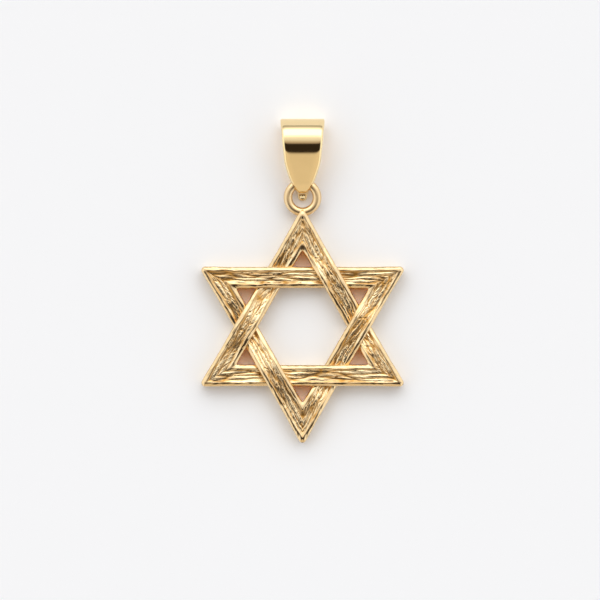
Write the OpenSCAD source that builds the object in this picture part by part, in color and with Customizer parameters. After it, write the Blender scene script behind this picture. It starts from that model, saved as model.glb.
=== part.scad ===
/* [Star] */
// Height of the star between its top and bottom corners, before they are rounded
star_h = 26.4; // [22:0.1:40]
// Width of each of the six bars
bar_w = 2.4; // [1.8:0.1:2.8]
// Thickness of the bars at the corners, from the flat back to the floor of the bark
bar_t = 1.5; // [1.3:0.1:2.4]
// Radius that rounds the six corners, seen from the front
corner_r = 0.42; // [0.3:0.02:0.8]
// Height that a bar gains where it crosses over another
over_rise = 0.35; // [0.25:0.05:0.6]
// Depth that a bar loses where it dives under another
under_dip = 0.4; // [0.25:0.05:0.5]
// Length of each climb or dive, along the bar
ramp_l = 2.7; // [2:0.1:4]

/* [Bark] */
// Width of the smooth rim along both long edges of a bar
rim_w = 0.42; // [0.25:0.01:0.45]
// Height of the rims above the floor of the bark
rim_h = 0.2; // [0.1:0.02:0.25]
// Number of raised ridges along each bar
ridge_count = 4; // [2:1:5]
// Width of a ridge where it is neither pinched nor swollen
ridge_w = 0.22; // [0.14:0.01:0.28]
// Height of the ridges above the floor of the bark
ridge_h = 0.14; // [0.08:0.01:0.2]
// Sideways swing of a ridge about its own line
ridge_sway = 0.09; // [0.02:0.01:0.12]

/* [Ring] */
// Diameter of the ring's round wire
ring_wire = 0.96; // [0.7:0.02:1]
// Inside diameter of the ring
ring_id = 2.24; // [2.2:0.02:3.2]
// Depth that the ring's wire is let into the star's top corner
ring_sink = 0.64; // [0.4:0.01:0.8]

/* [Bail] */
// Width of the bail at its fold
bail_w = 4.9; // [3.6:0.1:6.5]
// Height of the fold above the middle of the ring's wire
bail_reach = 7.08; // [6:0.02:10]
// Thickness of the bail's strip
bail_wall = 0.45; // [0.35:0.01:0.5]
// Angle that the front leaf opens from the back leaf
bail_angle = 24; // [18:1:28]
// Outer radius of the bulge below the fold
crown_r = 2.66; // [2.3:0.02:2.9]
// Width of the tongue where the two leaves are soldered together
tongue_w = 1.58; // [1.3:0.02:1.7]
// Width of the rounded nub at the end of the back leaf
nub_w = 1; // [0.7:0.02:1.06]
// Length of the nub below the soldered foot
nub_l = 0.6; // [0.6:0.01:1]
// Gap between the ring's wire and the back leaf
link_gap = 0.1; // [0.08:0.01:0.2]
// Gap between the ring's wire and the front leaf, at the middle of the bail
leaf_gap = 0.24; // [0.2:0.01:0.35]

/* [Hidden] */
gold = [0.85, 0.68, 0.38];
arc_steps = 8;
ring_fn = 64;

// The bars: distances of their edges from the star's middle
corner_reach = star_h / 2;
edge_out = corner_reach / 2;
edge_in = edge_out - bar_w;
bar_mid = edge_out - bar_w / 2;
mitre = tan(60);
// Bars run this much past their edges and mitres before the plan trims them
lap = 0.2;
// Two bars cross this far along each of them from its own middle
cross_x = bar_mid * tan(30);
// A bar stays level over this half length of a crossing
level_l = bar_w / 2 * tan(30);
ramp_steps = 3;
tip_y = corner_reach - corner_r;

// The bark: the field between the rims, and the lines of its ridges
field_in = edge_in + rim_w;
field_out = edge_out - rim_w;
ridge_pitch = (field_out - field_in) / ridge_count;
ridge_steps = 26;
ridge_swell = 0.4;
ridge_lap = 0.015;
// Waves along a ridge. An odd count lets the ridges of neighbouring bars meet at the mitre
ridge_waves = [5, 3, 5, 3, 5];
// Where each ridge starts in its wave, in degrees
ridge_phase = [20, 200, 75, 310, 150];
bar_turn = 47;

// The ring: the middle of its wire runs on this radius, clear above the back leaf of the bail
ring_r = (ring_id + ring_wire) / 2;
ring_y = tip_y - ring_sink + ring_r + ring_wire / 2;
ring_z = bail_wall + link_gap + ring_wire / 2;

// The bail, seen from the side: heights over the wire's middle, which is at [0, ring_z]
leaf_off = ring_wire / 2 + leaf_gap + bail_wall;
crown_y = bail_reach - crown_r;
crown_z = ring_z + leaf_off * cos(bail_angle)
    + (sin(bail_angle) * (crown_y + leaf_off * sin(bail_angle)) - crown_r) / cos(bail_angle);
fold_y = bail_reach - crown_z;
// The foot closes the two leaves inside the ring's hole, where the tongue still fits between its sides
hole_r = ring_id / 2 - link_gap;
foot_y = sqrt(pow(hole_r, 2) - pow(tongue_w / 2, 2)) - ring_r;
foot_wall = bail_wall * 0.85;
toe_y = foot_y - foot_wall;
nub_y = toe_y - nub_l;
// The foot narrows by this share down to the toe, then within this length to the nub
toe_taper = 0.93;
nub_step = 0.06;
wire_y = ring_y + ring_r;
bail_len = bail_reach - nub_y;
// Share of the bail's length below the fold, and of its widening over the tongue there
petal = [
    [0, 1],
    [0.03, 0.995],
    [0.17, 0.911],
    [0.30, 0.863],
    [0.42, 0.792],
    [0.52, 0.735],
    [0.61, 0.615],
    [0.71, 0.435],
    [0.80, 0.235],
];

// The whole pendant is centred over the origin
low_y = -tip_y;
high_y = wire_y + bail_reach;
shift_y = -(low_y + high_y) / 2;

// Rise of a bar at x along it: a level stretch at each crossing, and a smooth ramp beside it
function ease(u) = (1 - cos(180 * max(0, min(1, u)))) / 2;
function swell(d) = ease((level_l + ramp_l - abs(d)) / ramp_l);
function rise(x) = over_rise * swell(x + cross_x) - under_dip * swell(x - cross_x);

// Stations along a bar, close together only where it climbs or dives
function ramp(from, to) = [for (i = [0:ramp_steps]) from + (to - from) * i / ramp_steps];
half_l = mitre * edge_out;
slab_l = mitre * (edge_out + lap) + 2 * lap;
stations = concat(
    [-half_l],
    ramp(-cross_x - level_l - ramp_l, -cross_x - level_l),
    ramp(-cross_x + level_l, cross_x - level_l),
    ramp(cross_x + level_l, cross_x + level_l + ramp_l),
    [half_l]
);

// Corner of a triangle's outline, rounded round the point that both its edges keep corner_r away from
function corner_arc(turn) = [
    for (n = [0:arc_steps])
    let (a = turn - 60 + 120 * n / arc_steps)
    2 * (edge_out - corner_r) * [cos(turn), sin(turn)] + corner_r * [cos(a), sin(a)]
];

// Plan of one of the two triangles: rounded corners outside, sharp ones inside
module triangle_plan() {
    difference() {
        polygon([for (k = [0:2]) each corner_arc(120 * k + 30)]);
        polygon([for (k = [0:2]) 2 * edge_in * [cos(120 * k + 30), sin(120 * k + 30)]]);
    }
}

// Stretch of a bar between two distances from the star's middle, a little longer than its mitres
module strip(from, to) {
    polygon([
        [-mitre * from - lap, from],
        [-mitre * to - lap, to],
        [mitre * to + lap, to],
        [mitre * from + lap, from],
    ]);
}

// Everything under the bar's rising and falling top, raised by h
module under_top(h) {
    rotate([90, 0, 0])
        linear_extrude(height = 2 * edge_out, center = true)
            polygon(concat(
                [[-slab_l, 0]],
                [[-slab_l, bar_t + h]],
                [for (x = stations) [x, bar_t + h + rise(x)]],
                [[slab_l, bar_t + h]],
                [[slab_l, 0]]
            ));
}

// Side line of ridge j, on one side of its middle line. Its ends lie just past the mitres
function ridge_side(i, j, side) = [
    for (n = [0:ridge_steps])
    let (
        t = (1 + ridge_lap) * (2 * n / ridge_steps - 1),
        turn = 180 * ridge_waves[(i + j) % len(ridge_waves)] * t + ridge_phase[j],
        pinch = 1 + ridge_swell * sin(180 * ridge_waves[j] * t + bar_turn * j),
        y = field_in + ridge_pitch * (j + 0.5) + ridge_sway * sin(turn) + side * pinch * ridge_w / 2
    )
    [t * mitre * y, y]
];

module ridge(i, j) {
    low = ridge_side(i, j, -1);
    high = ridge_side(i, j, 1);
    polygon(concat(low, [for (n = [ridge_steps:-1:0]) high[n]]));
}

// One bar with its rims and ridges, before the triangle's plan trims it
module bar(i) {
    intersection() {
        under_top(0);
        linear_extrude(height = 2 * bar_t) strip(edge_in - lap, edge_out + lap);
    }
    intersection() {
        under_top(rim_h);
        linear_extrude(height = 2 * bar_t) {
            strip(field_out, edge_out + lap);
            strip(edge_in - lap, field_in);
        }
    }
    intersection() {
        under_top(ridge_h);
        linear_extrude(height = 2 * bar_t)
            for (j = [0:ridge_count - 1]) ridge(i, j);
    }
}

module triangle(first) {
    rotate(60 * first)
        intersection() {
            linear_extrude(height = 2 * bar_t) triangle_plan();
            union()
                for (k = [0:2]) rotate(120 * k) bar(first + k);
        }
}

module ring() {
    translate([0, ring_y, ring_z])
        rotate_extrude($fn = ring_fn)
            translate([ring_r, 0]) circle(d = ring_wire, $fn = ring_fn);
}

module star() {
    color(gold)
        translate([0, shift_y, 0]) {
            triangle(0);
            triangle(1);
            ring();
        }
}

// Arc of radius r about c, as points from one angle to another
function arc(c, r, from, to) = [
    for (n = [0:arc_steps])
    let (a = from + (to - from) * n / arc_steps)
    c + r * [cos(a), sin(a)]
];

// Front leaf's line at distance off from the wire, where it passes the given y
function leaf_z(off, y) = ring_z + (off + y * sin(bail_angle)) / cos(bail_angle);

// The fold and the bulge below it, inset by w from the bail's outside, round to the front leaf at end_y
function fold(w, end_y) = concat(
    arc([fold_y, crown_z], crown_z - w, -90, 0),
    arc([crown_y, crown_z], crown_r - w, 0, 90 + bail_angle),
    [[end_y, leaf_z(leaf_off - w, end_y)]]
);

// The bail from the side: its strip folded over, with the front leaf turned down to the back one at the foot
module bail_side() {
    difference() {
        polygon(concat(
            [[toe_y, bail_wall], [nub_y, bail_wall], [nub_y, 0]],
            fold(0, toe_y)
        ));
        polygon(concat([[foot_y, bail_wall]], fold(bail_wall, foot_y)));
    }
}

// Half width of the petal at a share of its length below the fold
function petal_w(share) = tongue_w / 2 + (bail_w - tongue_w) / 2 * share;

module bail_plan() {
    right = [for (p = petal) [petal_w(p[1]), bail_reach - bail_len * p[0]]];
    foot = [
        [tongue_w / 2, foot_y],
        [tongue_w / 2 * toe_taper, toe_y],
        [nub_w / 2, toe_y - nub_step],
        [nub_w / 2, nub_y + nub_w / 2],
    ];
    nub = arc([0, nub_y + nub_w / 2], nub_w / 2, 0, -180);
    side = concat(right, foot);
    polygon(concat(
        side,
        nub,
        [for (n = [len(side) - 1:-1:0]) [-side[n][0], side[n][1]]]
    ));
}

module bail() {
    color(gold)
        translate([0, shift_y + wire_y, 0])
            intersection() {
                rotate([90, 0, 90])
                    linear_extrude(height = 2 * bail_w, center = true) bail_side();
                linear_extrude(height = 4 * crown_r) bail_plan();
            }
}

star();
bail();
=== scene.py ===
# %% [markdown]
# # A woven gold star pendant
# The object is a cast gold star of two interlaced triangles with a bark texture, a round ring soldered
# to its top corner, and a polished folded bail through that ring. The solid model fixes every size.
# This file gives the pieces their finish: the relief of the bark, the soft rims, the bent strip and the
# metal. It starts by loading that model, and everything after is built round it, in metres.

# %% Load the frame
import math

import bmesh
import bpy
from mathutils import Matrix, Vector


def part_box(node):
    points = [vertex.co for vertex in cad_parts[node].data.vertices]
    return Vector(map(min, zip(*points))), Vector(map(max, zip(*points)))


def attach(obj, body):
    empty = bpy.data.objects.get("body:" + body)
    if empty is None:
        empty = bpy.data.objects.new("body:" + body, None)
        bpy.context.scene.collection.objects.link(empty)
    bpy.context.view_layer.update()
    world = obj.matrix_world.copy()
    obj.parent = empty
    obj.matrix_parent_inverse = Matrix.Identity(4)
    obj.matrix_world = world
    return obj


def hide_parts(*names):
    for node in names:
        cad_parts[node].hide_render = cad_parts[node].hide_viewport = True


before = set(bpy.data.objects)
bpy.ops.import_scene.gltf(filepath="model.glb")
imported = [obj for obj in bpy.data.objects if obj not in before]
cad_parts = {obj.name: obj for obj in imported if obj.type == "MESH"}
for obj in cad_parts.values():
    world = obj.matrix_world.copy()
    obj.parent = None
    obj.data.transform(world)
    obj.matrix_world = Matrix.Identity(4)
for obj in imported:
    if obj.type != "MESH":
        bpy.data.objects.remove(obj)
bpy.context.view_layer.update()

MM = 0.001
star_low, star_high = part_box("star")
bail_low, bail_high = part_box("bail")
print("star box in mm:", [round(v / MM, 2) for v in (*star_low, *star_high)])
print("bail box in mm:", [round(v / MM, 2) for v in (*bail_low, *bail_high)])

# %% [markdown]
# ## Sizes of the star
# Six equal bars lie round the star's middle. Each bar is known by the distance of its outer and inner
# edge from that middle. The outer distance comes from the solid model's box, so that the finished star
# fills it. The weave needs only three more values: how far a bar rises over its neighbour, how far it
# dips under the next one, and how long each climb takes. The ring hangs from the top of the same box.

# %% Sizes of the star
ROOT3 = math.sqrt(3)
CORNER_R = 0.42 * MM
EDGE_OUT = (star_high.x - CORNER_R) / ROOT3 + CORNER_R
BAR_W = 2.4 * MM
BAR_T = 1.5 * MM
STAR_Y = star_low.y + 2 * EDGE_OUT - CORNER_R
OVER_RISE = 0.35 * MM
UNDER_DIP = 0.40 * MM
RAMP_L = 2.7 * MM
CROSS_X = (EDGE_OUT - BAR_W / 2) / ROOT3
LEVEL_L = BAR_W / 2 / ROOT3
RING_WIRE = 0.96 * MM
RING_R = 1.60 * MM
RING_Y = star_high.y - RING_R - RING_WIRE / 2
RING_Z = 1.03 * MM
print("from the star's middle to a bar's outer edge, mm:", round(EDGE_OUT / MM, 3))
print("ring's middle, mm:", round(RING_Y / MM, 3), round(RING_Z / MM, 3))

# %% [markdown]
# ## A helper for formulas in Geometry Nodes
# A Geometry Nodes tree works out numbers with Math nodes. Wiring them by hand hides the formula, so
# this helper wraps a socket in a class. Adding or multiplying two wrapped sockets puts the matching
# Math node in the tree, and the script then reads like the formula itself. The materials at the end
# use the same helper, because a shader tree has the same Math nodes.

# %% Formula helper


class Field:
    """A number that varies over a mesh. Arithmetic on it adds Math nodes to its tree."""

    def __init__(self, tree, socket):
        self.tree = tree
        self.socket = socket

    def math(self, operation, *others, clamp=False):
        node = self.tree.nodes.new("ShaderNodeMath")
        node.operation = operation
        node.use_clamp = clamp
        for slot, value in zip(node.inputs, (self, *others)):
            plug(self.tree, value, slot)
        return Field(self.tree, node.outputs[0])

    def __add__(self, other):
        return self.math("ADD", other)

    def __sub__(self, other):
        return self.math("SUBTRACT", other)

    def __rsub__(self, other):
        return (self * -1.0) + other

    def __mul__(self, other):
        return self.math("MULTIPLY", other)

    def __rmul__(self, other):
        return self.math("MULTIPLY", other)

    def __truediv__(self, other):
        return self.math("DIVIDE", other)

    def size(self):
        return self.math("ABSOLUTE")

    def clamped(self):
        return self.math("ADD", 0.0, clamp=True)


def plug(tree, value, slot):
    """Wires a field or a node's output into a socket, or types a plain value into it."""
    if isinstance(value, Field):
        value = value.socket
    if isinstance(value, bpy.types.NodeSocket):
        tree.links.new(value, slot)
    else:
        slot.default_value = value


def smooth(x):
    """0 below 0, 1 above 1, and an even S-curve between."""
    t = x.clamped()
    return t * t * (3.0 - t * 2.0)


print("formula helper ready")

# %% [markdown]
# ## Nodes and patterns
# A few more helpers put whole nodes into a tree. Three of them make a pattern: soft noise, a pattern of
# cells, and a curve through chosen points. Cells give the bark its strands, because their borders are
# sharp and never quite parallel. The curve gives a rim or an outline a shape that no short formula has.

# %% Nodes and patterns
CELL_SCATTER = 0.9


def add(tree, kind, **inputs):
    """A node with some of its inputs set. A name with an underscore stands for one with a space."""
    node = tree.nodes.new(kind)
    for label, value in inputs.items():
        plug(tree, value, node.inputs[label.replace("_", " ")])
    return node


def vector(tree, x, y, z):
    return add(tree, "ShaderNodeCombineXYZ", X=x, Y=y, Z=z).outputs[0]


def split(tree, place):
    """The x, y and z of a vector, as fields."""
    return [Field(tree, part) for part in add(tree, "ShaderNodeSeparateXYZ", Vector=place).outputs]


def noise(tree, place, scale, detail=2.0, rough=0.5):
    """Blender's noise at a place, as a field from about -0.5 to 0.5."""
    node = add(tree, "ShaderNodeTexNoise", Vector=place, Scale=scale, Detail=detail, Roughness=rough)
    return Field(tree, node.outputs["Fac"]) - 0.5


def cells(tree, place, feature, output):
    """Blender's cell pattern at a place: the distance to a cell's edge, or a lot drawn for each cell."""
    node = tree.nodes.new("ShaderNodeTexVoronoi")
    node.feature = feature
    plug(tree, place, node.inputs["Vector"])
    plug(tree, 1.0, node.inputs["Scale"])
    plug(tree, CELL_SCATTER, node.inputs["Randomness"])
    return Field(tree, node.outputs[output])


def draw_curve(tree, value, shape):
    """A Float Curve through the given points, read at a value."""
    node = tree.nodes.new("ShaderNodeFloatCurve")
    line = node.mapping.curves[0]
    for point, place in zip(line.points, (shape[0], shape[-1])):
        point.location = place
    for place in shape[1:-1]:
        line.points.new(*place)
    node.mapping.update()
    plug(tree, value.clamped(), node.inputs["Value"])
    return Field(tree, node.outputs[0])


print("node and pattern helpers ready")

# %% [markdown]
# ## Trees and flat grids
# Each tree gets named number inputs, so that its sizes can be read and changed in Blender's own panel.
# Star and strip both start as a flat grid one metre wide, which a formula bends into place. A closed
# section is made of runs, such as a top and a wall, and one helper says how far a point is through each.

# %% Trees and flat grids
SEAM_GAP = 0.002 * MM


def new_tree(name, inputs):
    """A tree with geometry in and out, and named number inputs, which come back as fields."""
    tree = bpy.data.node_groups.new(name, "GeometryNodeTree")
    tree.interface.new_socket("Geometry", in_out="OUTPUT", socket_type="NodeSocketGeometry")
    tree.interface.new_socket("Geometry", in_out="INPUT", socket_type="NodeSocketGeometry")
    for label, value in inputs.items():
        socket = tree.interface.new_socket(label, in_out="INPUT", socket_type="NodeSocketFloat")
        socket.default_value = value
    source = tree.nodes.new("NodeGroupInput")
    return tree, source.outputs["Geometry"], {label: Field(tree, source.outputs[label]) for label in inputs}


def use_tree(tree, inner, inputs):
    """The mesh that another tree makes from these inputs."""
    node = tree.nodes.new("GeometryNodeGroup")
    node.node_tree = inner
    for label, value in inputs.items():
        plug(tree, value, node.inputs[label])
    return node.outputs[0]


def end_tree(tree, mesh):
    target = tree.nodes.new("NodeGroupOutput")
    tree.links.new(mesh, target.inputs[0])


def keep(tree, mesh, name, value):
    """Stores a field on the points of a mesh under a name, for the material to read."""
    return add(tree, "GeometryNodeStoreNamedAttribute", Geometry=mesh, Name=name, Value=value).outputs[0]


def place_grid(tree, columns, rows):
    """A flat grid, and each point's share along its two directions, from 0 to 1."""
    points = {"Vertices_X": columns + 1, "Vertices_Y": rows + 1}
    grid = add(tree, "GeometryNodeMeshGrid", Size_X=1.0, Size_Y=1.0, **points)
    x, y, _ = split(tree, tree.nodes.new("GeometryNodeInputPosition").outputs[0])
    return grid.outputs["Mesh"], x + 0.5, y + 0.5


def run_shares(step, counts):
    """How far a step is through each run of a section: 0 before the run, 1 after it."""
    shares = []
    for count in counts:
        shares.append((step / count).clamped())
        step = step - count
    return shares


def bend_grid(tree, grid, where):
    """Moves the grid's points into place, joins those that this has brought together, and ends the tree."""
    moved = add(tree, "GeometryNodeSetPosition", Geometry=grid, Position=where).outputs[0]
    joined = add(tree, "GeometryNodeMergeByDistance", Geometry=moved, Distance=SEAM_GAP)
    end_tree(tree, joined.outputs[0])


print("tree helpers ready")

# %% [markdown]
# ## From a tree to a piece
# A modifier runs the tree once, and the result is frozen into a plain mesh, because a plain mesh exports
# the same everywhere. Every piece is measured as soon as it is made. An open edge or a negative volume
# would show a hole or a face that looks inwards, long before a render does.

# %% From a tree to a piece


def piece_from(tree, name, sizes, base=None):
    """The plain mesh that a tree gives for these sizes, as an object at the origin."""
    holder = bpy.data.objects.new(name + "_source", base or bpy.data.meshes.new(name + "_source"))
    bpy.context.scene.collection.objects.link(holder)
    grow = holder.modifiers.new("grow", "NODES")
    grow.node_group = tree
    for item in tree.interface.items_tree:
        if item.name in sizes:
            grow[item.identifier] = sizes[item.name]
    view = bpy.context.evaluated_depsgraph_get()
    mesh = bpy.data.meshes.new_from_object(holder.evaluated_get(view), depsgraph=view)
    holder.modifiers.remove(grow)
    bpy.data.objects.remove(holder)
    mesh.name = name
    piece = bpy.data.objects.new(name, mesh)
    bpy.context.scene.collection.objects.link(piece)
    return piece


def measure(piece):
    """Prints the faces, open edges, volume and box of a piece."""
    probe = bmesh.new()
    probe.from_mesh(piece.data)
    open_edges = sum(1 for edge in probe.edges if not edge.is_manifold)
    volume = probe.calc_volume(signed=True) / MM**3
    triangles = sum(len(face.verts) - 2 for face in probe.faces)
    probe.free()
    places = [vertex.co / MM for vertex in piece.data.vertices]
    low = [round(min(place[axis] for place in places), 3) for axis in range(3)]
    high = [round(max(place[axis] for place in places), 3) for axis in range(3)]
    print(piece.name, "triangles", triangles, "open edges", open_edges, "mm3", round(volume, 1), low, high)


print("piece helpers ready")

# %% [markdown]
# ## The bark's relief
# The real bark was carved in wax before casting: long strands that wave, split and close up again, with
# sharp grooves between them and pits on the slanted bars. Sculpting it by hand would take days, and an
# image can't be used, so the relief is a formula. A cell pattern, thirteen times as long as it is wide,
# makes the strands. Slow noise bends them, a lot drawn for each cell makes some strands stand higher, and
# fine noise gives grain and pits. The same formula also says how the rims beside the bark wander, and
# where the groove along a rim breaks off, so that neither looks drawn with a ruler.
#
# The two level bars of the real star are calmer than the others, so pits and cracks are weaker there.

# %% Relief of the bark
STRAND_L = 6.0 * MM
STRAND_W = 0.46 * MM
STRAND_H = 0.125 * MM
STRAND_ROUND = 0.42
# Every strand has the first share of that height, and its lot times the second share on top
EVEN_SHARE, LOT_SHARE = 0.5, 0.6
# Each noise's length along the bar, its width across, and its own seed
SWAY_NOISE = (3.4 * MM, 1.3 * MM, 0.0)
TWIST_NOISE = (1.2 * MM, 0.6 * MM, 7.0)
GRAIN_NOISE = (1.1 * MM, 0.16 * MM, 3.0)
PIT_NOISE = (0.30 * MM, 0.20 * MM, 11.0)
CRACK_NOISE = (1.5 * MM, 0.5 * MM, 17.0)
WAVE_NOISE = (1.4 * MM, 1.0 * MM, 31.0)
LINE_NOISE = (2.6 * MM, 1.0 * MM, 23.0)
SWAY, TWIST, WAVE = 0.60 * MM, 0.12 * MM, 0.34 * MM
GRAIN_H, PIT_H, CRACK_H = 0.065 * MM, 0.09 * MM, 0.07 * MM
CRACK_THIN = 0.035
LINE_GAPS = 0.10
CALM_SHARE = 0.85


def carve(tree, u, v, seed, calm):
    """Bark at u along a bar and v from the star's middle: its height, its grooves, the way the rim
    wanders, and where the groove along the rim is cut."""

    def pattern(size, line=v, detail=2.0):
        length, width, shift = size
        return noise(tree, vector(tree, u / length, line / width, seed + shift), 1.0, detail)

    across = v + pattern(SWAY_NOISE, detail=1.0) * SWAY + pattern(TWIST_NOISE) * TWIST
    where = vector(tree, u / STRAND_L, across / STRAND_W, seed)
    gap = 1.0 - (cells(tree, where, "DISTANCE_TO_EDGE", "Distance") / STRAND_ROUND).clamped()
    lot = cells(tree, where, "F1", "Color")
    broken = 1.0 - calm * CALM_SHARE
    crack = 1.0 - smooth(pattern(CRACK_NOISE, across, 1.0).size() / CRACK_THIN)
    strand = (1.0 - gap * gap) * (lot * LOT_SHARE + EVEN_SHARE) * STRAND_H
    grain = pattern(GRAIN_NOISE, across) * GRAIN_H
    pits = pattern(PIT_NOISE) * PIT_H
    height = strand + grain + (pits - crack * CRACK_H) * broken
    groove = (gap * gap * gap).math("MAXIMUM", crack * broken)
    wave = pattern(WAVE_NOISE) * WAVE
    cut = smooth(pattern(LINE_NOISE) / LINE_GAPS)
    return height, groove, wave, cut


print("a strand's length over its width:", round(STRAND_L / STRAND_W, 1))

# %% [markdown]
# ## The bark triangle
# One triangle of the star is a single closed band that runs through three bars and turns at three
# mitred corners. A flat grid can make it. One direction of the grid runs round the triangle, the other
# runs round the bar's section: across the top, down the outer wall, back under the bar and up the inner
# wall. Set Position bends the grid to that place, and Merge by Distance closes both seams.
#
# Each point first learns which bar it is on, how far along that bar, and where on the bar's section. The
# points on top are crowded towards both edges, where the rims need them most.

# %% Section of a bar
STATIONS = 270
TOP_STEPS = 50
WALL_STEPS = 4
BASE_STEPS = 3
CROWD = 0.22
FULL_TURN = 2 * math.pi


def section_place(step):
    """Where a point is on the bar's section: the share across from the inner edge, and up the wall."""
    top, outer, base, inner = run_shares(step, (TOP_STEPS, WALL_STEPS, BASE_STEPS, WALL_STEPS))
    crowd = (top * FULL_TURN).math("SINE") * (CROWD / FULL_TURN)
    return top - crowd - base, 1.0 - outer + inner


print("grid cells on one triangle:", 3 * STATIONS * (TOP_STEPS + 2 * WALL_STEPS + BASE_STEPS))

# %% [markdown]
# The top of a bar is the higher of two surfaces: the rim beside its edge, and the bark between the rims.
# The rim's section is a curve with a steep bevel, a quick crest and a long inner slope, because its
# highlight and its thin dark line come from just those slopes. The rim follows the distance to the bar's
# nearer edge. At a corner two edges meet, and a soft minimum rounds the rim there as a file would.

# %% Rim and edges of a bar
RIM_W = 0.80 * MM
RIM_H = 0.20 * MM
RIM_DROP = 0.06 * MM
# Share of the rim's width from the bar's edge, and of its height
RIM_SHAPE = (
    (0.0, 0.0), (0.04, 0.19), (0.10, 0.42), (0.18, 0.61), (0.26, 0.76), (0.33, 0.85), (0.40, 0.925),
    (0.46, 0.975), (0.51, 0.99), (0.55, 0.975), (0.60, 0.92), (0.68, 0.80), (0.76, 0.65), (0.86, 0.46),
    (1.0, 0.20),
)
CORNER_SOFT = 0.5 * MM
CORNER_TURN = math.radians(120)


def swell(distance):
    """1 over a crossing, and an S-curve down to 0 beside it."""
    return smooth((LEVEL_L + RAMP_L - distance.size()) / RAMP_L)


def edge_distance(away, along, width):
    """Distance to the nearer edge of the band, which turns into the next bar at each corner."""
    next_away = along.size() * math.sin(CORNER_TURN) + away * math.cos(CORNER_TURN)
    outer = (EDGE_OUT - away).math("SMOOTH_MIN", EDGE_OUT - next_away, CORNER_SOFT)
    inner = (away - EDGE_OUT).math("SMOOTH_MAX", next_away - EDGE_OUT, CORNER_SOFT) + width
    return outer.math("MINIMUM", inner).math("MAXIMUM", 0.0)


crest = max(RIM_SHAPE, key=lambda point: point[1])
print("rim's width to its crest, mm:", round(crest[0] * RIM_W / MM, 2))

# %% [markdown]
# A soft maximum of rim and bark lets a strand run into the rim here and there, as on the casting. A fine
# groove is scratched where the two meet.
#
# The bark is laid out from both mitres of a bar, so that its strands meet in a V at each corner. The two
# layouts are blended where the bar passes under its neighbour and nobody sees it. Each corner has its
# own seed, counted round from 0 to 2, and both bars that meet there use it. So their bark agrees at the
# mitre, and the seam of the grid closes.

# %% Top of a bar
BARK_FROM, BARK_FADE = 0.36 * MM, 0.18 * MM
LINE_AT, LINE_W, LINE_H = 0.56 * MM, 0.08 * MM, 0.06 * MM
BARK_BASE = 0.03 * MM
# Under the rim the bark sinks this far, so that it can't show there
SINK = 0.2 * MM
SOFT_MAX = 0.02 * MM
WAVE_FROM = 0.2 * MM
BLEND_L = 2.0 * MM
CORNER_SEED = 5.0
# How fast the pattern drifts on its way from the corner, so that strands end and new ones begin
DRIFT = 160.0
# Guards a whole number against rounding before it is counted
NUDGE = 0.00001


def relief(tree, given, bar, away, along):
    """Height of a bar's top over its floor, its grooves, and where it is bark."""
    edge = edge_distance(away, along, given["Bar Width"])
    left = (bar + NUDGE).math("FLOORED_MODULO", 3.0).math("FLOOR")
    right = (bar + (1.0 + NUDGE)).math("FLOORED_MODULO", 3.0).math("FLOOR")
    from_left = ROOT3 * away + along
    from_right = ROOT3 * away - along
    calm = (left - given["Calm Bar"]).size().math("LESS_THAN", 0.5)
    seed = given["Seed"]
    first = carve(tree, from_left, away, seed + left * CORNER_SEED + from_left * DRIFT, calm)
    second = carve(tree, from_right, away, seed + right * CORNER_SEED - from_right * DRIFT, calm)
    mix = smooth((along - CROSS_X) / BLEND_L + 0.5)
    bark, groove, wave, cut = (a + (b - a) * mix for a, b in zip(first, second))
    from_edge = edge + wave * smooth(edge / WAVE_FROM)
    rim = draw_curve(tree, from_edge / RIM_W, RIM_SHAPE) * (RIM_H + RIM_DROP) - RIM_DROP
    inside = smooth((from_edge - BARK_FROM) / BARK_FADE)
    line = (1.0 - smooth((from_edge - LINE_AT).size() / LINE_W)) * cut
    top = rim.math("SMOOTH_MAX", (bark + BARK_BASE + SINK) * inside - SINK, SOFT_MAX) - line * LINE_H
    return top, (groove * inside).math("MAXIMUM", line), inside


print("strands across a bar:", round((BAR_W - 2 * BARK_FROM) / STRAND_W, 1))

# %% [markdown]
# A hand-finished edge is never quite straight, so slow noise draws both edges in by up to a tenth of a
# millimetre, but not at the corners, which keep the pendant's full size. Each corner is rounded by
# bending the outer edge round the middle of its arc.

# %% Edges of the band
WOBBLE, WOBBLE_L = 0.09 * MM, 2.4 * MM
WOBBLE_FROM, WOBBLE_FADE = 1.5 * MM, 2.0 * MM
BAR_SEED = 9.0
# Both are too small to see. One guards a division, the other says where a corner's arc begins
TINY = 1e-9
BEND_FROM = 1e-7


def wobble(tree, given, bar, away, along, shift):
    """How far an edge is drawn in at a place along a bar."""
    place = vector(tree, along / WOBBLE_L, given["Seed"] + shift, bar.math("ROUND") * BAR_SEED)
    start = smooth((ROOT3 * away + along - WOBBLE_FROM) / WOBBLE_FADE)
    end = smooth((ROOT3 * away - along - WOBBLE_FROM) / WOBBLE_FADE)
    return (noise(tree, place, 1.0) + 0.5) * start * end * WOBBLE


def rounded_corner(away, along):
    """Whether a point is on a corner's arc, and its place there: across, and from the star's middle."""
    centre = EDGE_OUT - CORNER_R
    past = (away - centre).math("MAXIMUM", 0.0)
    over = (along.size() - centre * ROOT3).math("MAXIMUM", 0.0)
    arc = (over / (past * ROOT3 + TINY)).clamped() * math.radians(60)
    bent = past.math("GREATER_THAN", BEND_FROM) * over.math("GREATER_THAN", BEND_FROM)
    arc_x = along.math("SIGN") * (arc.math("SINE") * past + centre * ROOT3)
    arc_y = arc.math("COSINE") * past + centre
    return bent, arc_x, arc_y


print("an edge is drawn in by at most, mm:", round(WOBBLE / MM, 2))
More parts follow.
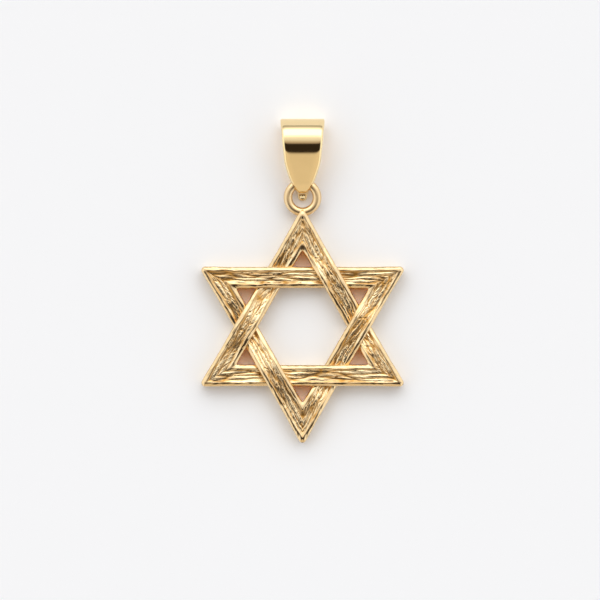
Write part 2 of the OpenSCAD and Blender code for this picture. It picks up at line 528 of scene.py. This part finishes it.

# %% [markdown]
# Now the tree itself. The top's height, the weave's rise and the point's place on the bar are turned
# into a place in space.
#
# The points also keep four numbers for the material: how deep in a groove they are, which sets the
# grooves' painted shade, and whether they are bark, side wall, or beside one of the small openings, where
# the material paints a reflection of gold in gold. These are stored on the flat grid before Set Position
# bends it. Stored after it, they would be worked out again from the bent places, and be wrong.

# %% Tree of one triangle
# The back's edges are rounded off by this much, over this share of the wall
BACK_EDGE = 0.10 * MM
BACK_SHARE = 0.34
OUTER_SEED, INNER_SEED = 3.0, 8.0
# A small opening lies between the inner walls near a triangle's corner and the middle of an outer wall
NOOK_FROM = (EDGE_OUT - BAR_W) * ROOT3 - 2.4 * MM
NOOK_BASE = 1.5 * MM
NOOK_FADE = 0.3 * MM
TOP_LIFT = 0.999
WALL_FADE = 0.5


def keep_marks(tree, grid, groove, inside, along, share, lift):
    """Stores what the material needs to know of a point on the flat grid."""
    on_top = lift.math("GREATER_THAN", TOP_LIFT)
    # Walls beside the small openings, where the material paints a reflection of gold in gold
    nook_side = smooth((along.size() - NOOK_FROM) / NOOK_FADE) * (1.0 - share)
    nook_base = smooth((NOOK_BASE - along.size()) / NOOK_FADE) * share
    grid = keep(tree, grid, "groove", groove * on_top)
    grid = keep(tree, grid, "bark", inside * on_top)
    grid = keep(tree, grid, "painted_bounce", nook_side + nook_base)
    return keep(tree, grid, "wall", smooth((1.0 - lift) / WALL_FADE))


def triangle_tree():
    """A closed band of three barked bars round the origin."""
    sizes = {"Bar Width": BAR_W, "Bar Height": BAR_T, "Seed": 1.0, "Calm Bar": 0.0}
    tree, _, given = new_tree("bark_triangle", sizes)
    section = TOP_STEPS + 2 * WALL_STEPS + BASE_STEPS
    grid, round_share, section_share = place_grid(tree, 3 * STATIONS, section)
    round_trip = round_share * 3.0
    bar = (round_trip + NUDGE).math("FLOOR")
    t = (round_trip - bar) * 2.0 - 1.0
    share, lift = section_place(section_share * section)
    away = EDGE_OUT - given["Bar Width"] * (1.0 - share)
    along = t * ROOT3 * away
    top, groove, inside = relief(tree, given, bar, away, along)
    rise = swell(along + CROSS_X) * OVER_RISE - swell(along - CROSS_X) * UNDER_DIP
    height = given["Bar Height"] + rise + top

    back = smooth((BACK_SHARE - lift) / BACK_SHARE) * BACK_EDGE
    drawn_in = wobble(tree, given, bar, away, along, OUTER_SEED) + back
    drawn_out = wobble(tree, given, bar, away, along, INNER_SEED) + back
    pulled = away - drawn_in * share + drawn_out * (1.0 - share)
    flat_x = t * ROOT3 * pulled
    bent, arc_x, arc_y = rounded_corner(pulled, along)
    x = flat_x + (arc_x - flat_x) * bent
    y = pulled + (arc_y - pulled) * bent
    turn = bar * -CORNER_TURN
    cos_turn = turn.math("COSINE")
    sin_turn = turn.math("SINE")
    where = vector(tree, x * cos_turn - y * sin_turn, x * sin_turn + y * cos_turn, height * lift)
    bend_grid(tree, keep_marks(tree, grid, groove, inside, along, share, lift), where)
    return tree


triangle_group = triangle_tree()
print("nodes in the triangle's tree:", len(triangle_group.nodes))

# %% [markdown]
# ## Fusing the parts
# A mesh boolean fuses closed parts into one skin, because the real star is one lump of metal and a
# crossing must not show two surfaces inside each other. The solver for closed meshes is the fast one and
# keeps the numbers stored on the points. The skin is shaded smooth, except at its sharpest edges, and
# gets its metal.

# %% Fuse and place
CREASE = math.radians(55)


def finish_tree(tree, parts, material):
    """Fuses closed parts into one solid, shades it smooth but for its creases, and gives it its metal."""
    fuse = tree.nodes.new("GeometryNodeMeshBoolean")
    fuse.operation = "UNION"
    fuse.solver = "MANIFOLD"
    for part in parts:
        tree.links.new(part, fuse.inputs["Mesh 2"])
    soft = add(tree, "GeometryNodeSetShadeSmooth", Geometry=fuse.outputs[0])
    angle = Field(tree, tree.nodes.new("GeometryNodeInputMeshEdgeAngle").outputs["Unsigned Angle"])
    crease = add(tree, "GeometryNodeSetShadeSmooth", Geometry=soft.outputs[0], Shade_Smooth=False)
    crease.domain = "EDGE"
    plug(tree, angle.math("GREATER_THAN", CREASE), crease.inputs["Selection"])
    real = add(tree, "GeometryNodeRealizeInstances", Geometry=crease.outputs[0])
    dress = add(tree, "GeometryNodeSetMaterial", Geometry=real.outputs[0], Material=material)
    end_tree(tree, dress.outputs[0])


def put(tree, mesh, place, turn=0.0, scale=(1.0, 1.0, 1.0)):
    """A mesh moved, turned about the upright axis and scaled."""
    turned = (0.0, 0.0, turn)
    node = add(tree, "GeometryNodeTransform", Geometry=mesh, Translation=place, Rotation=turned, Scale=scale)
    return node.outputs[0]


def circle(tree, radius, steps):
    return add(tree, "GeometryNodeCurvePrimitiveCircle", Resolution=steps, Radius=radius).outputs[0]


print("edges stay sharp from, degrees:", round(math.degrees(CREASE)))

# %% [markdown]
# ## The whole star
# The two triangles are the same tree, turned by 60 degrees and with another seed. The ring is a circle
# swept round a circle. On the real piece the top corner runs up over the ring's wire in a drop of solder,
# which a stretched ball makes.

# %% The star
RING_STEPS = 96
WIRE_STEPS = 32
SOLDER_SIZE = (0.53 * MM, 0.86 * MM, 0.80 * MM)
SOLDER_AT = (0.0, RING_Y - RING_R - 0.44 * MM, 0.95 * MM)
SOLDER_SEGMENTS, SOLDER_RINGS = 32, 24
# Each triangle's turn, its seed, and which of its bars is the calm level one
TRIANGLES = ((0.0, 2.0, 0.0), (math.radians(60), 41.0, 2.0))


def star_tree(sizes, material):
    """Both triangles, the ring and the drop of solder, fused into one casting."""
    tree, _, given = new_tree("bark_star", sizes)
    parts = []
    for turn, seed, calm_bar in TRIANGLES:
        inputs = {"Bar Width": given["Bar Width"], "Bar Height": given["Bar Height"],
                  "Seed": given["Seed"] + seed, "Calm Bar": calm_bar}
        parts.append(put(tree, use_tree(tree, triangle_group, inputs), (0.0, STAR_Y, 0.0), turn))
    path = circle(tree, given["Ring Radius"], RING_STEPS)
    wire = circle(tree, given["Ring Wire"] * 0.5, WIRE_STEPS)
    ring = add(tree, "GeometryNodeCurveToMesh", Curve=path, Profile_Curve=wire).outputs[0]
    parts.append(keep(tree, put(tree, ring, (0.0, RING_Y, RING_Z)), "wire", 1.0))
    ball = add(tree, "GeometryNodeMeshUVSphere", Segments=SOLDER_SEGMENTS, Rings=SOLDER_RINGS, Radius=1.0)
    parts.append(put(tree, ball.outputs[0], SOLDER_AT, scale=SOLDER_SIZE))
    finish_tree(tree, parts, material)
    return tree


bark_gold = bpy.data.materials.new("bark_gold")
bark_gold.use_nodes = True
star_sizes = {"Bar Width": BAR_W, "Bar Height": BAR_T, "Ring Radius": RING_R, "Ring Wire": RING_WIRE,
              "Seed": 0.0}
star = piece_from(star_tree(star_sizes, bark_gold), "bark_star", star_sizes)
measure(star)
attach(star, "root")
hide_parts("star")

# %% [markdown]
# ## Sizes of the bail
# The bail is one strip of sheet gold. It lies flat behind the ring, folds over in a soft bulge, comes
# down in front and turns in to meet itself inside the ring, where it is soldered. Its side view has the
# same sizes as the solid model, and the bulge's height follows from the others: the front leaf leans at
# a set angle, clears the ring's wire by a set gap, and touches the bulge without a step.

# %% Sizes of the bail
BAIL_WALL = 0.45 * MM
BAIL_REACH = 7.08 * MM
BAIL_ANGLE = math.radians(24)
CROWN_R = 2.66 * MM
LEAF_GAP = 0.24 * MM
WIRE_Y = RING_Y + RING_R
LEAF_OFF = RING_WIRE / 2 + LEAF_GAP + BAIL_WALL
CROWN_Y = BAIL_REACH - CROWN_R
LEAN = LEAF_OFF * math.cos(BAIL_ANGLE)
CLIMB = math.sin(BAIL_ANGLE) * (CROWN_Y + LEAF_OFF * math.sin(BAIL_ANGLE))
CROWN_Z = RING_Z + LEAN + (CLIMB - CROWN_R) / math.cos(BAIL_ANGLE)
FOLD_Y = BAIL_REACH - CROWN_Z
NUB_W = 1.0 * MM
NUB_L = 0.60 * MM
NUB_Y = bail_low.y - WIRE_Y
TOE_Y = NUB_Y + NUB_L
NUB_TILT = math.radians(9)
FOOT_WALL = 0.85 * BAIL_WALL
FOOT_BEND = 1.15 * MM
print("height of the bulge, mm:", round((CROWN_Z + CROWN_R) / MM, 2))

# %% [markdown]
# ## The bail's path
# The side view is a path of lines and arcs. Where a line meets an arc the bend starts at once, which a
# polished surface shows as a sharp break in its reflection. Real sheet bends more gently, so each point
# of the front half is moved to the average of its neighbours.

# %% Points of a path
PATH_STEP = 0.04 * MM
SOFTEN = 12


def arc_points(centre, radius, start, end):
    """Points on an arc in the side view, about one step apart."""
    count = max(2, round(radius * abs(math.radians(end - start)) / PATH_STEP))
    angles = (math.radians(start + (end - start) * n / count) for n in range(count + 1))
    return [(centre[0] + radius * math.cos(a), centre[1] + radius * math.sin(a)) for a in angles]


def line_points(start, end):
    """Points on a line, about one step apart, without its last one."""
    count = max(2, round(math.dist(start, end) / PATH_STEP))
    return [tuple(a + (b - a) * n / count for a, b in zip(start, end)) for n in range(count)]


def softened(points):
    """The same points, each moved to the average of its neighbours, but for those near the two ends."""
    window = range(-SOFTEN, SOFTEN + 1)
    middle = [tuple(sum(points[i + n][axis] for n in window) / len(window) for axis in (0, 1))
              for i in range(SOFTEN, len(points) - SOFTEN)]
    return points[:SOFTEN] + middle + points[-SOFTEN:]


print("a bend is softened over, mm:", round(2 * SOFTEN * PATH_STEP / MM, 2))

# %% [markdown]
# The path runs along the middle of the strip's wall. It starts at the nub, follows the back leaf up to
# the fold, goes round the small and the large arc, and comes down the front leaf to the foot.

# %% Path of the bail's strip
half = BAIL_WALL / 2
foot_mid = TOE_Y + FOOT_WALL / 2
leaf_end = RING_Z + (LEAF_OFF - half + foot_mid * math.sin(BAIL_ANGLE)) / math.cos(BAIL_ANGLE)
leaf_turn = math.degrees(BAIL_ANGLE)
bend_z = leaf_end - FOOT_BEND * math.tan(math.radians(90 - leaf_turn) / 2)
nub_rise = (TOE_Y - NUB_Y) * math.tan(NUB_TILT)
bend = arc_points((foot_mid + FOOT_BEND, bend_z), FOOT_BEND, 90 + leaf_turn, 180)
front = arc_points((FOLD_Y, CROWN_Z), CROWN_Z - half, -90, 0)[:-1]
front += arc_points((CROWN_Y, CROWN_Z), CROWN_R - half, 0, 90 + leaf_turn)
front += line_points(front[-1], bend[0])[1:] + bend[:-1] + line_points(bend[-1], (foot_mid, half))
path = line_points((NUB_Y, half + nub_rise), (TOE_Y, half)) + line_points((TOE_Y, half), (FOLD_Y, half))
path += softened(front)

path_data = bpy.data.curves.new("bail_path", "CURVE")
path_data.dimensions = "3D"
spline = path_data.splines.new("POLY")
spline.points.add(len(path) - 1)
for point, (y, z) in zip(spline.points, path):
    point.co = (0.0, y + WIRE_Y, z, 1.0)
flat_length = sum(math.dist(a, b) for a, b in zip(path, path[1:]))
print("points on the bail's path:", len(path), " length of the strip, mm:", round(flat_length / MM, 1))

# %% [markdown]
# ## The bail's outline
# Seen from the front the strip narrows like a petal, ends in rounded shoulders, and shows a small round
# nub below them. One curve gives the width at every height. A taper object on the path would give the
# same width to the back leaf and the front leaf only by chance, while this formula reads the height
# itself, so the two leaves always match.

# %% Outline of the bail
BAIL_W = bail_high.x - bail_low.x
TONGUE_W = 1.58 * MM
BAIL_LEN = BAIL_REACH - NUB_Y
SHOULDER_L = 0.75 * MM
SHOULDER_POWER = 1.5
NUB_POWER = 2.6
NUB_BLUNT = 0.985
# Share of the bail's length below the fold, and of its widening over the tongue there
PETAL = (
    (0.0, 1.0), (0.03, 0.995), (0.17, 0.911), (0.30, 0.863), (0.42, 0.792), (0.52, 0.735), (0.61, 0.615),
    (0.71, 0.435), (0.80, 0.235), (0.891, 0.0), (1.0, 0.0),
)


def petal_half_width(tree, y, bail_width, tongue_width):
    """Half the strip's width at a height y over the ring's wire."""
    share = draw_curve(tree, (BAIL_REACH - y) / BAIL_LEN, PETAL)
    petal = (tongue_width + (bail_width - tongue_width) * share) * 0.5
    corner = 1.0 - ((y - TOE_Y) / SHOULDER_L).clamped()
    narrow = (petal - NUB_W / 2) * (1.0 - corner.math("POWER", SHOULDER_POWER)) + NUB_W / 2
    below = ((NUB_Y + NUB_W / 2 - y).math("MAXIMUM", 0.0) / (NUB_W / 2)).math("MINIMUM", NUB_BLUNT)
    nub = (1.0 - below.math("POWER", NUB_POWER)).math("POWER", 1 / NUB_POWER) * (NUB_W / 2)
    return narrow + (nub - narrow) * below.math("GREATER_THAN", 0.0)


print("bail's width and length, mm:", round(BAIL_W / MM, 2), round(BAIL_LEN / MM, 2))

# %% [markdown]
# ## The bail's strip
# Curve to Mesh could sweep a section along the path, but its section can't change width by height. So a
# grid is bent again: its columns follow the path, and its rows run round the strip's section, which is
# flat on both faces and round at both edges. One more column at each end shrinks to a point and closes
# the stretch.

# %% Section of the strip
ALONG_STEPS = 220
FLAT_STEPS = 22
EDGE_STEPS = 8
AROUND_STEPS = 2 * (FLAT_STEPS + EDGE_STEPS)


def strip_section(step):
    """Where a point is on the strip's section: across its face from 1 to -1, and its angle at an edge."""
    outer, edge_a, inner, edge_b = run_shares(step, (FLAT_STEPS, EDGE_STEPS, FLAT_STEPS, EDGE_STEPS))
    across = 1.0 - outer * 2.0 + inner * 2.0
    return across, (edge_a + edge_b) * math.pi + math.pi / 2


def path_place(tree, curve, along):
    """The y and z of a place on the path, and of the path's direction there."""
    sample = tree.nodes.new("GeometryNodeSampleCurve")
    sample.mode = "FACTOR"
    sample.use_all_curves = True
    plug(tree, curve, sample.inputs["Curves"])
    plug(tree, along, sample.inputs["Factor"])
    _, at_y, at_z = split(tree, sample.outputs["Position"])
    _, way_y, way_z = split(tree, sample.outputs["Tangent"])
    return at_y, at_z, way_y, way_z


print("grid cells on one stretch:", ALONG_STEPS * AROUND_STEPS)

# %% [markdown]
# The outer face of the front half is faintly domed and falls away at its edges, as a polished strip does,
# which gives the light border along both sides. The strip is filed thinner towards its foot, and its nub
# is a small dome on the side that shows.

# %% Strip of the bail
# A hair thinner than the solid, so that the sheet stays inside it
BAIL_SHEET = BAIL_WALL - 0.02 * MM
DOME = 0.05 * MM
EDGE_DROP, EDGE_POWER = 0.15 * MM, 9.0
NUB_DOME, NUB_FADE = 0.20 * MM, 0.1 * MM
FRONT_FROM, FRONT_FADE = 0.47, 0.10
FOOT_FROM, FOOT_FADE, FOOT_THIN = 0.93, 0.05, 0.15
END_THIN, END_POWER = 0.7, 5.0


def strip_tree():
    """A closed stretch of the strip between two shares of the path."""
    sizes = {"Start": 0.0, "End": 1.0, "Wall": BAIL_WALL, "Width": BAIL_W, "Tongue": TONGUE_W}
    tree, curve, given = new_tree("bail_stretch", sizes)
    grid, length_share, round_share = place_grid(tree, ALONG_STEPS + 2, AROUND_STEPS)
    station = length_share * (ALONG_STEPS + 2.0) - 1.0
    cap = station.math("LESS_THAN", -0.5) + station.math("GREATER_THAN", ALONG_STEPS + 0.5)
    size = 1.0 - cap
    along = given["Start"] + (given["End"] - given["Start"]) * (station / ALONG_STEPS).clamped()
    across, angle = strip_section((1.0 - round_share) * AROUND_STEPS)
    at_y, at_z, way_y, way_z = path_place(tree, curve, along)

    thin = 1.0 - smooth((along - FOOT_FROM) / FOOT_FADE) * FOOT_THIN
    end = ((NUB_Y + WIRE_Y + NUB_W / 2 - at_y) / (NUB_W / 2)).clamped()
    wall = given["Wall"] * 0.5 * thin * size * (1.0 - end.math("POWER", END_POWER) * END_THIN)
    out = wall * angle.math("SINE") * -1.0
    height = at_y - out * way_z - WIRE_Y
    half_width = petal_half_width(tree, height, given["Width"], given["Tongue"]) * size
    round_r = wall.math("MINIMUM", half_width)
    x = across * (half_width - round_r) + round_r * angle.math("COSINE")

    bow = x / (given["Width"] * 0.5)
    reach = (x / (half_width + TINY)).size()
    outside = (angle.math("SINE") + 1.0) * 0.5 * size
    inside = size - outside
    is_front = smooth((along - FRONT_FROM) / FRONT_FADE)
    is_nub = smooth((TOE_Y - height) / NUB_FADE) * (1.0 - is_front)
    drop = bow * bow * DOME + reach.math("POWER", EDGE_POWER) * EDGE_DROP
    out = out + outside * is_front * drop - inside * is_nub * reach * reach * NUB_DOME
    bend_grid(tree, grid, vector(tree, x, at_y - out * way_z, at_z + out * way_y))
    return tree


print("thickness of the strip, mm:", round(BAIL_SHEET / MM, 2))

# %% [markdown]
# The strip touches itself at the foot, where one closed grid would run into itself. So it is made as two
# stretches, which the boolean solders together. They also meet in the soft bulge, where no seam shows.

# %% The bail
CUT_SHARE = 0.55


def bail_tree(sizes, material):
    """Both stretches of the strip, fused into one piece of sheet."""
    tree, curve, given = new_tree("bail_strip", sizes)
    stretch = strip_tree()
    parts = []
    for start, end in ((0.0, CUT_SHARE), (CUT_SHARE, 1.0)):
        parts.append(use_tree(tree, stretch, {"Geometry": curve, "Start": start, "End": end, **given}))
    finish_tree(tree, parts, material)
    return tree


polished_gold = bpy.data.materials.new("polished_gold")
polished_gold.use_nodes = True
bail_sizes = {"Wall": BAIL_SHEET, "Width": BAIL_W, "Tongue": TONGUE_W}
bail = piece_from(bail_tree(bail_sizes, polished_gold), "bail_strip", bail_sizes, path_data)
measure(bail)
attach(bail, "root")
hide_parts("bail")

# %% [markdown]
# ## The two golds
# Both pieces are the same yellow gold with two finishes. A metal's colour is its reflection, so the
# colour stays nearly even, and the roughness and the bump do the work. The bark is cast and only lightly
# brushed: its grooves are matt and painted brown as painted shade, while strands and rims shine. The bail
# is polished all over and shows only hair-fine scratches. The points of the star carry how deep in a
# groove they are, so the material knows the relief without a second pattern.

# %% Noise and colour for the materials
FULL = (1.0, 1.0, 1.0)
NOISE_ROUGH = 0.55


def shader_noise(tree, place, scale, detail, stretch=FULL):
    """Noise on the piece's own coordinates, stretched along one axis."""
    mapping = add(tree, "ShaderNodeMapping", Vector=place, Scale=stretch)
    return noise(tree, mapping.outputs[0], scale, detail, NOISE_ROUGH)


def colour_mix(tree, share, low, high):
    """A mix of two colours by a share. Each is a plain colour or what another node gives."""
    mix = tree.nodes.new("ShaderNodeMix")
    mix.data_type = "RGBA"
    plug(tree, share, mix.inputs["Factor"])
    for name, colour in (("A", low), ("B", high)):
        plain = isinstance(colour, tuple)
        plug(tree, (*colour, 1.0) if plain else colour, mix.inputs[name])
    return mix.outputs["Result"]


def point_value(tree, name):
    """A number stored on the points of the mesh."""
    attribute = tree.nodes.new("ShaderNodeAttribute")
    attribute.attribute_name = name
    return Field(tree, attribute.outputs["Fac"])


def bump(tree, shader, height, distance, strength):
    node = add(tree, "ShaderNodeBump", Distance=distance, Strength=strength, Height=height)
    tree.links.new(node.outputs[0], shader.inputs["Normal"])


print("material helpers ready")

# %% [markdown]
# The cast gold first. Its face is pale gold where it is open, tan on the rims and painted brown in the
# grooves as painted shade.
# The walls between the bars were never polished and keep a dull skin. Beside the six small openings the
# skin is painted a deeper, orange gold, a painted reflection of gold in gold, and the ring's underside is
# painted darker, as painted shade where the wire faces the table.
#
# The flat back is one even colour, chosen by the way the surface faces. A number stored on the points
# won't do there, since the boolean leaves a few long triangles on the back that would smear it.

# %% Colours of the cast gold
BARK_GOLD = (0.96, 0.775, 0.475)
# Brown gold painted into the grooves: painted shade of the recesses
GROOVE_SHADE_GOLD = (0.56, 0.29, 0.07)
SKIN_GOLD = (0.58, 0.42, 0.22)
# Orange gold painted beside the small openings: a painted reflection of gold in gold
PAINTED_BOUNCE_GOLD = (0.76, 0.38, 0.02)
# Darker gold painted on the ring's underside: painted shade where the wire faces the table
UNDERSIDE_SHADE_GOLD = (0.56, 0.37, 0.16)
BACK_GOLD = (0.90, 0.69, 0.38)
BACK_FACING = 0.8
# How strongly the grooves get that painted shade, and how patchy it is
GROOVE_SHADE_SHARE, GROOVE_SHADE_PATCHES = 1.05, 0.9
STAIN_OPEN, STAIN_RIM = 0.12, 0.34


def bark_colour(tree, facing, blotch, marks, underside_shade):
    """The casting's colour: stained face with painted shade in the grooves, walls with painted bounce and
    shade, even back.
    """
    # Painted shade in the grooves, in patches, with random stains over the face and the rims' own tan
    shade_and_stain = marks["groove"] * (blotch * GROOVE_SHADE_PATCHES + GROOVE_SHADE_SHARE) + blotch * STAIN_OPEN
    shade_and_stain = (shade_and_stain + (1.0 - marks["bark"]) * STAIN_RIM).clamped()
    face = colour_mix(tree, shade_and_stain, BARK_GOLD, GROOVE_SHADE_GOLD)
    # The walls' dull skin, with a painted reflection of gold in gold beside the small openings
    wall = colour_mix(tree, marks["painted_bounce"].clamped(), SKIN_GOLD, PAINTED_BOUNCE_GOLD)
    # The ring's underside takes the painted shade colour
    skin = colour_mix(tree, underside_shade, wall, UNDERSIDE_SHADE_GOLD)
    whole = colour_mix(tree, marks["skin"], face, skin)
    on_back = (facing + BACK_FACING).math("LESS_THAN", 0.0) * (1.0 - marks["wire"])
    return colour_mix(tree, on_back, whole, BACK_GOLD)


print("red, green and blue of its face over those of a groove:",
      [round(a / b, 1) for a, b in zip(BARK_GOLD, GROOVE_SHADE_GOLD)])

# %% [markdown]
# The bump has two sizes: soft blotches all over, and a fine noise that is a fifth as strong on the
# polished rims as on the bark. The roughness is low on rims and strands, higher in the grooves and
# highest on the skin. The fine noise varies it too, but on the bark alone, so that the bark glitters
# beside calm rims.

# %% Cast gold
BLOTCH_SCALE, BLOTCH_DETAIL = 900.0, 3.0
FINE_SCALE, FINE_DETAIL = 9000.0, 4.0
# How softly the painted shade on the ring's underside fades in
UNDERSIDE_SHADE_FADE = 0.2 * MM
ROUGH_METAL, ROUGH_BARK, ROUGH_GROOVE, ROUGH_SKIN = 0.21, 0.01, 0.12, 0.20
ROUGH_WIRE, ROUGH_PATCHES, ROUGH_GRAIN = 0.08, 0.08, 0.10
FINE_BUMP_RIM, FINE_BUMP_BARK, BLOTCH_BUMP = 0.2, 0.8, 0.4
BARK_BUMP, BARK_BUMP_SHARE = 0.02 * MM, 0.6


def dress_bark(material):
    tree = material.node_tree
    shader = tree.nodes["Principled BSDF"]
    surface = tree.nodes.new("ShaderNodeTexCoord")
    place = surface.outputs["Object"]
    facing = split(tree, surface.outputs["Normal"])[2]
    height = split(tree, place)[2]
    marks = {name: point_value(tree, name) for name in ("groove", "bark", "painted_bounce", "wall", "wire")}
    # Painted shade on the ring's wire below its middle, added to the walls' dull skin
    underside_shade = marks["wire"] * smooth((RING_Z - height) / UNDERSIDE_SHADE_FADE)
    marks["skin"] = (marks["wall"] + underside_shade).clamped()
    blotch = shader_noise(tree, place, BLOTCH_SCALE, BLOTCH_DETAIL)
    fine = shader_noise(tree, place, FINE_SCALE, FINE_DETAIL)
    colour = bark_colour(tree, facing, blotch, marks, underside_shade)
    plug(tree, colour, shader.inputs["Base Color"])
    plug(tree, 1.0, shader.inputs["Metallic"])
    rough = marks["bark"] * ROUGH_BARK + marks["groove"] * ROUGH_GROOVE
    rough = rough + marks["wire"] * ROUGH_WIRE + marks["skin"] * ROUGH_SKIN
    rough = rough + blotch * ROUGH_PATCHES + fine * marks["bark"] * ROUGH_GRAIN + ROUGH_METAL
    plug(tree, rough, shader.inputs["Roughness"])
    fine_share = marks["bark"] * FINE_BUMP_BARK + FINE_BUMP_RIM
    bump(tree, shader, fine * fine_share + blotch * BLOTCH_BUMP, BARK_BUMP, BARK_BUMP_SHARE)


dress_bark(bark_gold)
print("nodes in the cast gold:", len(bark_gold.node_tree.nodes))

# %% [markdown]
# The polished sheet next. Its scratches are noise drawn out along the strip, as a polishing wheel
# leaves them, and only microns deep.

# %% Polished gold
SHEET_GOLD = (0.95, 0.745, 0.41)
SHEET_SHADE = (0.94, 0.72, 0.38)
SCRATCH_SCALE, SCRATCH_DETAIL = 700.0, 5.0
WHEEL_MARKS = (14.0, 1.0, 1.0)
CLOUD_SCALE, CLOUD_DETAIL = 350.0, 2.0
SHADE_CLOUD, SHADE_EVEN = 0.5, 0.3
ROUGH_POLISH, ROUGH_SCRATCH, ROUGH_CLOUD = 0.09, 0.06, 0.05
POLISH_BUMP, POLISH_BUMP_SHARE = 0.002 * MM, 0.5


def dress_polish(material):
    tree = material.node_tree
    shader = tree.nodes["Principled BSDF"]
    place = tree.nodes.new("ShaderNodeTexCoord").outputs["Object"]
    scratch = shader_noise(tree, place, SCRATCH_SCALE, SCRATCH_DETAIL, WHEEL_MARKS)
    cloud = shader_noise(tree, place, CLOUD_SCALE, CLOUD_DETAIL)
    tint = colour_mix(tree, (cloud * SHADE_CLOUD + SHADE_EVEN).clamped(), SHEET_GOLD, SHEET_SHADE)
    plug(tree, tint, shader.inputs["Base Color"])
    plug(tree, 1.0, shader.inputs["Metallic"])
    plug(tree, scratch * ROUGH_SCRATCH + cloud * ROUGH_CLOUD + ROUGH_POLISH, shader.inputs["Roughness"])
    bump(tree, shader, scratch + cloud, POLISH_BUMP, POLISH_BUMP_SHARE)


dress_polish(polished_gold)
print("nodes in the polished gold:", len(polished_gold.node_tree.nodes))

# %% [markdown]
# ## The table
# The pendant lies on a smooth white table. A plain plane is enough, large enough to have no edge in view.

# %% Table
TABLE_SIZE = 3.0
TABLE_WHITE = (0.955, 0.97, 0.995, 1.0)
TABLE_ROUGH = 0.9
TABLE_GLOSS = 0.1
bpy.ops.mesh.primitive_plane_add(size=TABLE_SIZE)
table = bpy.context.active_object
table.name = "white_table"
white = bpy.data.materials.new("white_table")
white.use_nodes = True
board = white.node_tree.nodes["Principled BSDF"]
board.inputs["Base Color"].default_value = TABLE_WHITE
board.inputs["Roughness"].default_value = TABLE_ROUGH
board.inputs["Specular IOR Level"].default_value = TABLE_GLOSS
table.data.materials.append(white)
print("table's width, m:", TABLE_SIZE)

# %% [markdown]
# ## The light
# Polished metal shows its surroundings, so the light is chosen by what the gold reflects. Lamps would
# leave the rest of the sky black, and black gold looks like mud. So the whole sky is painted instead.
# Along the picture's height it goes from a warm tan wall at the bottom, over a black card straight in
# front, to a dim ceiling and a bright softbox at the top. Towards both sides it is an even pale grey.
# The dark bands are warm and the bright ones white, so that shadows in the gold turn brown while its
# highlights stay pale.
#
# Light that bounces off gold on to the table is what warms the star's small openings, so Blender's
# softening of such bounces is turned off.

# %% Light
TAN_WALL = (1.0, 0.88, 0.72)
BLACK_CARD = (1.0, 0.72, 0.50)
DIM_CEILING = (1.0, 0.85, 0.74)
WHITE = (1.0, 1.0, 1.0)
# Degrees from straight up towards the top of the picture, and the sky's brightness and colour there
SKY = (
    (-180, 0.82, TAN_WALL), (-46, 0.82, TAN_WALL), (-42, 0.03, BLACK_CARD), (-10, 0.03, BLACK_CARD),
    (-5, 0.36, DIM_CEILING), (0, 0.56, DIM_CEILING), (10, 0.84, WHITE), (21, 1.0, WHITE),
    (31, 1.5, WHITE), (38, 2.25, WHITE), (63, 2.25, WHITE), (70, 1.4, WHITE), (76, 0.95, WHITE),
    (83, 0.5, WHITE), (90, 0.5, WHITE), (92, 0.6, WHITE), (180, 0.82, WHITE),
)
SKY_TOP = 2.25
SIDE_LEVEL = 1.22
PALE_GREY = (0.99, 1.0, 1.02)
SIDE_FROM, SIDE_FADE = 0.50, 0.25


def paint_sky(world):
    world.use_nodes = True
    tree = world.node_tree
    back = tree.nodes["Background"]
    aside, ahead, up = split(tree, tree.nodes.new("ShaderNodeTexCoord").outputs["Generated"])
    turns = ahead.math("ARCTAN2", up) / FULL_TURN + 0.5
    ramp = tree.nodes.new("ShaderNodeValToRGB")
    stops = ramp.color_ramp.elements
    while len(stops) < len(SKY):
        stops.new(0.5)
    for stop, (degrees, level, tint) in zip(stops, SKY):
        stop.position = (degrees + 180) / 360
        stop.color = (*(level / SKY_TOP * part for part in tint), 1.0)
    plug(tree, turns, ramp.inputs["Fac"])
    side = tuple(SIDE_LEVEL / SKY_TOP * part for part in PALE_GREY)
    to_side = smooth((aside.size() - SIDE_FROM) / SIDE_FADE)
    plug(tree, colour_mix(tree, to_side, ramp.outputs["Color"], side), back.inputs["Color"])
    back.inputs["Strength"].default_value = SKY_TOP


bpy.context.scene.world = bpy.data.worlds.new("studio")
paint_sky(bpy.context.scene.world)
bpy.context.scene.cycles.blur_glossy = 0.0
print("bands in the sky:", len(SKY))

# %% [markdown]
# ## The camera
# The photograph looks straight down with a long lens, so the camera stands half a metre above the table.

# %% Camera
VIEW_WIDTH = 66.0 * MM
CAMERA_UP = 0.5
CAMERA_X, CAMERA_Y = -0.275 * MM, -2.145 * MM
CLIP_START = 0.01
SENSOR = 36.0
camera_data = bpy.data.cameras.new("camera")
camera_data.sensor_width = SENSOR
camera_data.lens = SENSOR * (CAMERA_UP - BAR_T) / VIEW_WIDTH
camera_data.clip_start = CLIP_START
camera = bpy.data.objects.new("camera", camera_data)
camera.location = (CAMERA_X, CAMERA_Y, CAMERA_UP)
bpy.context.scene.collection.objects.link(camera)
bpy.context.scene.camera = camera
bpy.context.scene.view_settings.view_transform = "Standard"
print("lens, mm:", round(camera_data.lens, 1))
